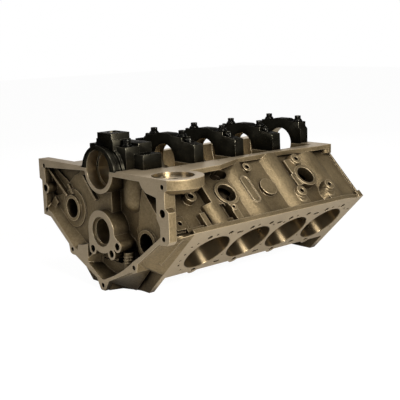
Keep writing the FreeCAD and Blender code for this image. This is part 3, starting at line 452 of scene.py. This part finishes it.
def softCopy(node, name):
    # a CAD solid's own mesh, merged and cleared of needless edges, with its edges rounded
    source = nodes[node]
    piece = source.copy()
    piece.data = source.data.copy()
    piece.name = name
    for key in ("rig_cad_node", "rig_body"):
        if key in piece:
            del piece[key]
    bpy.context.scene.collection.objects.link(piece)
    piece.parent = None
    pick(piece)
    bpy.ops.object.mode_set(mode="EDIT")
    bpy.ops.mesh.select_all(action="SELECT")
    bpy.ops.mesh.remove_doubles(threshold=cap["merge"])
    bpy.ops.mesh.dissolve_limited(angle_limit=math.radians(cap["flat"]))
    bpy.ops.object.mode_set(mode="OBJECT")
    addBevel(piece, cap["edge"], cap["segments"], cap["angle"])
    smoothByAngle(piece, cap["smooth"])
    return piece


for k in range(1, 6):
    piece = softCopy(f"main_cap_{k}", f"mainCap{k}")
    piece.data.materials.clear()
    piece.data.materials.append(capFinish)
    piece.data.materials.append(boredFinish)
    for face in piece.data.polygons:
        inBore = boredAt(face.center, face.normal, 0.0, block["mainReach"])
        face.material_index = 1 if inBore else 0
    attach(piece, "root")
    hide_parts(f"main_cap_{k}")
print("caps shaped")

# twelve-point bolts and their washers, each modelled once at the origin and copied to its seat
bolt = {
    "points": 12, "outer": 0.0072, "inner": 0.00646, "head": 0.0075, "headAngle": 25, "top": 0.9,
    "flange": 0.009, "flangeSides": 48, "rim": 0.0025, "rimSegments": 3,
    "shank": 0.0055, "shankSides": 32, "sink": 0.001, "dish": 0.0022, "dishDepth": 0.0007,
    "edge": 0.00035, "segments": 2, "angle": 35, "smooth": 30}
washer = {
    "outer": 0.0105, "inner": 0.00575, "thickness": 0.003, "sides": 48,
    "edge": 0.0004, "segments": 2, "angle": 35, "smooth": 30}
seats = {
    "frontY": 0.2375, "rearY": -0.250, "splay": 16.5,
    "inner": {"x": 0.045, "z": 0.050, "length": 0.098},
    "outer": {"x": 0.0675, "z": 0.0355, "length": 0.070},
    "rear": {"x": 0.042, "z": 0.045, "length": 0.056}}


def pickFaces(item, test):
    # in edit mode, only the faces that pass the test stay picked
    bpy.ops.mesh.select_all(action="DESELECT")
    bpy.ops.object.mode_set(mode="OBJECT")
    for face in item.data.polygons:
        face.select = test(face)
    bpy.ops.object.mode_set(mode="EDIT")


def makeBolt(length):
    top = washer["thickness"]
    count = bolt["points"] * 2  # a tip and a notch for each point
    clearPick()
    bpy.ops.mesh.primitive_cylinder_add(vertices=count, radius=bolt["outer"], depth=bolt["head"],
                                        location=(0, 0, top + bolt["rim"] + bolt["head"] / 2))
    head = bpy.context.object
    settle(head)
    step = 2 * math.pi / count
    bpy.ops.object.mode_set(mode="EDIT")
    bpy.ops.mesh.select_mode(type="VERT")
    bpy.ops.mesh.select_all(action="DESELECT")
    bpy.ops.object.mode_set(mode="OBJECT")
    for corner in head.data.vertices:
        turn = round(math.atan2(corner.co.x, corner.co.y) / step)
        corner.select = turn % 2 == 1
    bpy.ops.object.mode_set(mode="EDIT")
    share = bolt["inner"] / bolt["outer"]
    bpy.ops.transform.resize(value=(share, share, 1))
    bpy.ops.mesh.select_mode(type="FACE")
    pickFaces(head, lambda face: face.normal.z > bolt["top"])
    bpy.ops.mesh.inset(thickness=bolt["dish"])
    bpy.ops.mesh.inset(thickness=bolt["dishDepth"])
    bpy.ops.transform.translate(value=(0, 0, -bolt["dishDepth"]))
    bpy.ops.object.mode_set(mode="OBJECT")
    addBevel(head, bolt["edge"], bolt["segments"], bolt["headAngle"])
    clearPick()
    bpy.ops.mesh.primitive_cylinder_add(vertices=bolt["flangeSides"], radius=bolt["flange"],
                                        depth=bolt["rim"], location=(0, 0, top + bolt["rim"] / 2))
    rim = bpy.context.object
    settle(rim)
    addBevel(rim, bolt["edge"] * 2, bolt["rimSegments"], bolt["angle"])
    clearPick()
    upper = top + bolt["sink"]  # the shank reaches a little into the flange
    bpy.ops.mesh.primitive_cylinder_add(vertices=bolt["shankSides"], radius=bolt["shank"],
                                        depth=length + upper, location=(0, 0, (upper - length) / 2))
    shank = bpy.context.object
    settle(shank)
    addBevel(shank, bolt["edge"] * 2, bolt["segments"], bolt["angle"])
    clearPick()
    for part in (rim, shank, head):
        part.select_set(True)
    bpy.context.view_layer.objects.active = head
    bpy.ops.object.join()
    smoothByAngle(head, bolt["smooth"])
    return head


def makeWasher():
    clearPick()
    bpy.ops.mesh.primitive_circle_add(vertices=washer["sides"], radius=washer["outer"])
    ring = bpy.context.object
    share = washer["inner"] / washer["outer"]
    bpy.ops.object.mode_set(mode="EDIT")
    bpy.ops.mesh.select_all(action="SELECT")
    bpy.ops.mesh.extrude_edges_move()
    bpy.ops.transform.resize(value=(share, share, 1))
    bpy.ops.mesh.select_all(action="SELECT")
    rise = {"value": (0, 0, washer["thickness"])}
    bpy.ops.mesh.extrude_region_move(TRANSFORM_OT_translate=rise)
    bpy.ops.mesh.select_all(action="SELECT")
    bpy.ops.mesh.normals_make_consistent(inside=False)
    bpy.ops.object.mode_set(mode="OBJECT")
    addBevel(ring, washer["edge"], washer["segments"], washer["angle"])
    smoothByAngle(ring, washer["smooth"])
    return ring


def seatPlace(row, side, y):
    # the seat's middle and the way its bolt leans
    seat = seats[row]
    lean = -side * math.radians(seats["splay"]) if row == "outer" else 0.0
    return Matrix.Translation((side * seat["x"], y, seat["z"])) @ Matrix.Rotation(lean, 4, "Y")


def seatCopy(master, name, place, node):
    piece = master.copy()
    piece.data = master.data.copy()
    piece.name = name
    bpy.context.scene.collection.objects.link(piece)
    piece.matrix_world = place
    settle(piece)
    piece.data.materials.clear()
    piece.data.materials.append(boltFinish)
    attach(piece, "root")
    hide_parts(node)


masters = {row: makeBolt(seats[row]["length"]) for row in ("inner", "outer", "rear")}
ring = makeWasher()
for k in range(1, 6):
    # the middle caps are a bore pitch apart and hold four bolts, the end caps two
    y = {1: seats["frontY"], 5: seats["rearY"]}.get(k, (3 - k) * block["pitch"])
    rows = ("inner", "outer") if k in (2, 3, 4) else ("inner",)
    for tag, side in (("left", 1), ("right", -1)):
        for row in rows:
            kind = "rear" if k == 5 else row
            place = seatPlace(kind, side, y)
            ending = f"{k}_{row}_{tag}"
            label = f"{k}{row.title()}{tag.title()}"
            seatCopy(masters[kind], f"capBolt{label}", place, f"cap_bolt_{ending}")
            seatCopy(ring, f"capWasher{label}", place, f"cap_washer_{ending}")
for master in (*masters.values(), ring):
    pick(master)
    bpy.ops.object.delete()
print("bolts and washers seated")

# floor, light and camera
stage = {
    "floor": 16.0, "gap": 0.0005, "floorColor": (0.62, 0.62, 0.61), "roughness": 0.9, "shine": 0.1,
    "world": 0.15, "seen": 0.86, "glow": 1.12, "aim": (0, 0, -0.08)}
clearPick()
bpy.ops.mesh.primitive_plane_add(size=1, location=(0, 0, cadBox[0].z - stage["gap"]))
floor = bpy.context.object
floor.name = "floor"
floor.scale = (stage["floor"], stage["floor"], 1)
settle(floor)
paper = bpy.data.materials.new("floorPaper")
paper.use_nodes = True
tree = paper.node_tree
shader = tree.nodes["Principled BSDF"]
shader.inputs["Base Color"].default_value = (*stage["floorColor"], 1.0)
shader.inputs["Roughness"].default_value = stage["roughness"]
shader.inputs["Specular IOR Level"].default_value = stage["shine"]
glow = addNode(tree, "ShaderNodeEmission")
glow.inputs["Color"].default_value = (1.0, 1.0, 1.0, 1.0)
glow.inputs["Strength"].default_value = stage["glow"]
path = addNode(tree, "ShaderNodeLightPath")
seen = mathNode(tree, "MULTIPLY", path.outputs["Is Camera Ray"], stage["seen"])
blend = addNode(tree, "ShaderNodeMixShader")
tree.links.new(seen, blend.inputs["Fac"])
tree.links.new(shader.outputs["BSDF"], blend.inputs[1])
tree.links.new(glow.outputs["Emission"], blend.inputs[2])
tree.links.new(blend.outputs["Shader"], tree.nodes["Material Output"].inputs["Surface"])
floor.data.materials.append(paper)

world = bpy.data.worlds.new("studio")
bpy.context.scene.world = world
world.use_nodes = True
tree = world.node_tree
air = tree.nodes["Background"]
air.inputs["Color"].default_value = (1.0, 1.0, 1.0, 1.0)
path = addNode(tree, "ShaderNodeLightPath")
strength = rangeNode(tree, path.outputs["Is Camera Ray"], 0.0, 1.0, stage["world"], 1.0)
tree.links.new(strength, air.inputs["Strength"])

lamps = [
    {"name": "key", "at": (1.55, -0.40, 0.62), "size": 0.5, "power": 39.0, "color": (1.0, 0.96, 0.88)},
    {"name": "left", "at": (-0.2, -1.8, 0.7), "size": 0.5, "power": 6.0, "color": (1.0, 0.96, 0.90)},
    {"name": "top", "at": (0.40, -0.30, 1.45), "size": 0.5, "power": 7.5, "color": (1.0, 0.97, 0.92)},
    {"name": "back", "at": (-1.5, 1.3, 0.75), "size": 1.2, "power": 6.0, "color": (1.0, 0.97, 0.93)}]
for lamp in lamps:
    clearPick()
    bpy.ops.object.light_add(type="AREA", location=lamp["at"])
    light = bpy.context.object
    light.name = lamp["name"]
    light.data.size = lamp["size"]
    light.data.energy = lamp["power"]
    light.data.color = lamp["color"]
    toAim = Vector(stage["aim"]) - Vector(lamp["at"])
    light.rotation_euler = toAim.to_track_quat("-Z", "Y").to_euler()

view = {
    "at": (1.33571, -1.20535, 0.25378), "turn": (78.6592, 1.6232, 48.5525), "lens": 75.47,
    "sensor": 36.0, "shift": (0.00945, 0.0042), "near": 0.05, "far": 50.0}
turn = [math.radians(angle) for angle in view["turn"]]
clearPick()
bpy.ops.object.camera_add(location=view["at"], rotation=turn)
camera = bpy.context.object
camera.data.lens = view["lens"]
camera.data.sensor_width = view["sensor"]
camera.data.shift_x, camera.data.shift_y = view["shift"]
camera.data.clip_start = view["near"]
camera.data.clip_end = view["far"]
bpy.context.scene.camera = camera
bpy.context.scene.view_settings.view_transform = "Standard"
print("stage lit")
